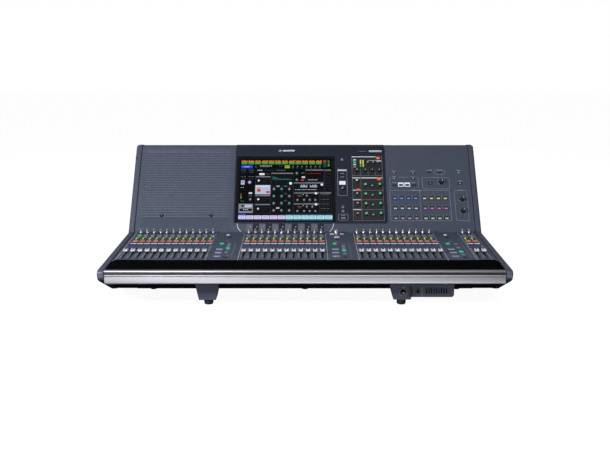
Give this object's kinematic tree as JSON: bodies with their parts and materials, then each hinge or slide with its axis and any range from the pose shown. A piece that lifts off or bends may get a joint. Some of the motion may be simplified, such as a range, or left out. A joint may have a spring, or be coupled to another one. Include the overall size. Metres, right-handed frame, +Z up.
{
  "type": "mixing console",
  "caption": "Digital audio mixing console with a sloping deck of sliding faders, a display bridge, an armrest, and two front legs, one of which holds the headphone box.",
  "frame": {"origin": "on the floor, under the middle of the console's outer box", "axes": "+Z up, +X to the operator's right, -Y towards the operator"},
  "size_m": [1.145, 0.733, 0.391],
  "materials": {
    "cheek_paint": "satin",
    "deck_paint": "satin",
    "bridge_paint": "satin",
    "bezel_paint": "satin",
    "chassis_paint": "matte",
    "leg_paint": "satin",
    "trim_aluminium": "satin",
    "pad_cover": "matte",
    "foot_rubber": "matte",
    "screen_glass": "gloss",
    "fader_cap": "satin",
    "knob_silver": "satin",
    "knob_dark": "satin",
    "key_grey": "satin",
    "board_green": "satin",
    "supply_steel": "satin",
    "marking_white": "matte",
    "connector_metal": "satin",
    "socket_black": "matte",
    "light_green": "gloss",
    "light_lime": "gloss",
    "light_orange": "gloss",
    "light_white": "gloss",
    "light_pink": "gloss",
    "display_picture": "gloss"
  },
  "bodies": {
    "console": {"left_cheek": "cheek_paint", "right_cheek": "cheek_paint", "chassis_tub": "chassis_paint", "bridge_cover": "bridge_paint", "io_panel": "chassis_paint", "armrest_pad": "pad_cover", "front_trim": "trim_aluminium", "left_leg": "leg_paint", "headphone_box": "leg_paint", "left_front_foot": "foot_rubber", "right_front_foot": "foot_rubber", "left_body_foot": "foot_rubber", "centre_body_foot": "foot_rubber", "right_body_foot": "foot_rubber", "rear_foot": "foot_rubber", "main_board": "board_green", "power_supply": "supply_steel", "fader_deck": "deck_paint", "centre_bezel": "bezel_paint", "touch_screen": "screen_glass"},
    "phones_knob": {"phones_knob": "knob_dark"},
    "touch_turn_knob": {"touch_turn_knob": "knob_silver"},
    "fader_01": {"fader_01": "fader_cap"},
    "fader_02": {"fader_02": "fader_cap"},
    "fader_03": {"fader_03": "fader_cap"},
    "fader_04": {"fader_04": "fader_cap"},
    "fader_05": {"fader_05": "fader_cap"},
    "fader_06": {"fader_06": "fader_cap"},
    "fader_07": {"fader_07": "fader_cap"},
    "fader_08": {"fader_08": "fader_cap"},
    "fader_09": {"fader_09": "fader_cap"},
    "fader_10": {"fader_10": "fader_cap"},
    "fader_11": {"fader_11": "fader_cap"},
    "fader_12": {"fader_12": "fader_cap"},
    "fader_13": {"fader_13": "fader_cap"},
    "fader_14": {"fader_14": "fader_cap"},
    "fader_15": {"fader_15": "fader_cap"},
    "fader_16": {"fader_16": "fader_cap"},
    "fader_17": {"fader_17": "fader_cap"},
    "fader_18": {"fader_18": "fader_cap"},
    "fader_19": {"fader_19": "fader_cap"},
    "fader_20": {"fader_20": "fader_cap"},
    "fader_21": {"fader_21": "fader_cap"},
    "fader_22": {"fader_22": "fader_cap"},
    "fader_23": {"fader_23": "fader_cap"},
    "fader_24": {"fader_24": "fader_cap"},
    "fader_25": {"fader_25": "fader_cap"},
    "fader_26": {"fader_26": "fader_cap"},
    "fader_27": {"fader_27": "fader_cap"},
    "fader_28": {"fader_28": "fader_cap"},
    "fader_29": {"fader_29": "fader_cap"},
    "fader_30": {"fader_30": "fader_cap"},
    "fader_31": {"fader_31": "fader_cap"},
    "fader_32": {"fader_32": "fader_cap"},
    "fader_33": {"fader_33": "fader_cap"},
    "fader_34": {"fader_34": "fader_cap"},
    "fader_35": {"fader_35": "fader_cap"},
    "fader_36": {"fader_36": "fader_cap"},
    "fader_37": {"fader_37": "fader_cap"},
    "fader_38": {"fader_38": "fader_cap"}
  },
  "joints": [
    {"name": "fader_01_slide", "type": "slide", "parent": "console", "child": "fader_01", "axis": [0, 0.9994, 0.0342], "range_m": [-0.0475, 0.0525]},
    {"name": "fader_02_slide", "type": "slide", "parent": "console", "child": "fader_02", "axis": [0, 0.9994, 0.0342], "range_m": [-0.0475, 0.0525]},
    {"name": "fader_03_slide", "type": "slide", "parent": "console", "child": "fader_03", "axis": [0, 0.9994, 0.0342], "range_m": [-0.0475, 0.0525]},
    {"name": "fader_04_slide", "type": "slide", "parent": "console", "child": "fader_04", "axis": [0, 0.9994, 0.0342], "range_m": [-0.0475, 0.0525]},
    {"name": "fader_05_slide", "type": "slide", "parent": "console", "child": "fader_05", "axis": [0, 0.9994, 0.0342], "range_m": [-0.0475, 0.0525]},
    {"name": "fader_06_slide", "type": "slide", "parent": "console", "child": "fader_06", "axis": [0, 0.9994, 0.0342], "range_m": [-0.0475, 0.0525]},
    {"name": "fader_07_slide", "type": "slide", "parent": "console", "child": "fader_07", "axis": [0, 0.9994, 0.0342], "range_m": [-0.0475, 0.0525]},
    {"name": "fader_08_slide", "type": "slide", "parent": "console", "child": "fader_08", "axis": [0, 0.9994, 0.0342], "range_m": [-0.0475, 0.0525]},
    {"name": "fader_09_slide", "type": "slide", "parent": "console", "child": "fader_09", "axis": [0, 0.9994, 0.0342], "range_m": [-0.0475, 0.0525]},
    {"name": "fader_10_slide", "type": "slide", "parent": "console", "child": "fader_10", "axis": [0, 0.9994, 0.0342], "range_m": [-0.0475, 0.0525]},
    {"name": "fader_11_slide", "type": "slide", "parent": "console", "child": "fader_11", "axis": [0, 0.9994, 0.0342], "range_m": [-0.0475, 0.0525]},
    {"name": "fader_12_slide", "type": "slide", "parent": "console", "child": "fader_12", "axis": [0, 0.9994, 0.0342], "range_m": [-0.0475, 0.0525]},
    {"name": "fader_13_slide", "type": "slide", "parent": "console", "child": "fader_13", "axis": [0, 0.9994, 0.0342], "range_m": [-0.0475, 0.0525]},
    {"name": "fader_14_slide", "type": "slide", "parent": "console", "child": "fader_14", "axis": [0, 0.9994, 0.0342], "range_m": [-0.0475, 0.0525]},
    {"name": "fader_15_slide", "type": "slide", "parent": "console", "child": "fader_15", "axis": [0, 0.9994, 0.0342], "range_m": [-0.0475, 0.0525]},
    {"name": "fader_16_slide", "type": "slide", "parent": "console", "child": "fader_16", "axis": [0, 0.9994, 0.0342], "range_m": [-0.0475, 0.0525]},
    {"name": "fader_17_slide", "type": "slide", "parent": "console", "child": "fader_17", "axis": [0, 0.9994, 0.0342], "range_m": [-0.0475, 0.0525]},
    {"name": "fader_18_slide", "type": "slide", "parent": "console", "child": "fader_18", "axis": [0, 0.9994, 0.0342], "range_m": [-0.0475, 0.0525]},
    {"name": "fader_19_slide", "type": "slide", "parent": "console", "child": "fader_19", "axis": [0, 0.9994, 0.0342], "range_m": [-0.0475, 0.0525]},
    {"name": "fader_20_slide", "type": "slide", "parent": "console", "child": "fader_20", "axis": [0, 0.9994, 0.0342], "range_m": [-0.0475, 0.0525]},
    {"name": "fader_21_slide", "type": "slide", "parent": "console", "child": "fader_21", "axis": [0, 0.9994, 0.0342], "range_m": [-0.0475, 0.0525]},
    {"name": "fader_22_slide", "type": "slide", "parent": "console", "child": "fader_22", "axis": [0, 0.9994, 0.0342], "range_m": [-0.0475, 0.0525]},
    {"name": "fader_23_slide", "type": "slide", "parent": "console", "child": "fader_23", "axis": [0, 0.9994, 0.0342], "range_m": [-0.0475, 0.0525]},
    {"name": "fader_24_slide", "type": "slide", "parent": "console", "child": "fader_24", "axis": [0, 0.9994, 0.0342], "range_m": [-0.0475, 0.0525]},
    {"name": "fader_25_slide", "type": "slide", "parent": "console", "child": "fader_25", "axis": [0, 0.9994, 0.0342], "range_m": [-0.0475, 0.0525]},
    {"name": "fader_26_slide", "type": "slide", "parent": "console", "child": "fader_26", "axis": [0, 0.9994, 0.0342], "range_m": [-0.0475, 0.0525]},
    {"name": "fader_27_slide", "type": "slide", "parent": "console", "child": "fader_27", "axis": [0, 0.9994, 0.0342], "range_m": [-0.0475, 0.0525]},
    {"name": "fader_28_slide", "type": "slide", "parent": "console", "child": "fader_28", "axis": [0, 0.9994, 0.0342], "range_m": [-0.0475, 0.0525]},
    {"name": "fader_29_slide", "type": "slide", "parent": "console", "child": "fader_29", "axis": [0, 0.9994, 0.0342], "range_m": [-0.0475, 0.0525]},
    {"name": "fader_30_slide", "type": "slide", "parent": "console", "child": "fader_30", "axis": [0, 0.9994, 0.0342], "range_m": [-0.0475, 0.0525]},
    {"name": "fader_31_slide", "type": "slide", "parent": "console", "child": "fader_31", "axis": [0, 0.9994, 0.0342], "range_m": [-0.0475, 0.0525]},
    {"name": "fader_32_slide", "type": "slide", "parent": "console", "child": "fader_32", "axis": [0, 0.9994, 0.0342], "range_m": [-0.0475, 0.0525]},
    {"name": "fader_33_slide", "type": "slide", "parent": "console", "child": "fader_33", "axis": [0, 0.9994, 0.0342], "range_m": [-0.0475, 0.0525]},
    {"name": "fader_34_slide", "type": "slide", "parent": "console", "child": "fader_34", "axis": [0, 0.9994, 0.0342], "range_m": [-0.0475, 0.0525]},
    {"name": "fader_35_slide", "type": "slide", "parent": "console", "child": "fader_35", "axis": [0, 0.9994, 0.0342], "range_m": [-0.0475, 0.0525]},
    {"name": "fader_36_slide", "type": "slide", "parent": "console", "child": "fader_36", "axis": [0, 0.9994, 0.0342], "range_m": [-0.0475, 0.0525]},
    {"name": "fader_37_slide", "type": "slide", "parent": "console", "child": "fader_37", "axis": [0, 0.9994, 0.0342], "range_m": [-0.0475, 0.0525]},
    {"name": "fader_38_slide", "type": "slide", "parent": "console", "child": "fader_38", "axis": [0, 0.9994, 0.0342], "range_m": [-0.0475, 0.0525]},
    {"name": "phones_level_turn", "type": "hinge", "parent": "console", "child": "phones_knob", "pos_m": [0.278, -0.3085, 0.037], "axis": [0, -1, 0], "range_deg": [-150, 150]},
    {"name": "touch_turn_spin", "type": "hinge", "parent": "console", "child": "touch_turn_knob", "pos_m": [0.101, 0.04931, 0.12893], "axis": [0, -0.0342, 0.9994], "continuous": true}
  ]
}
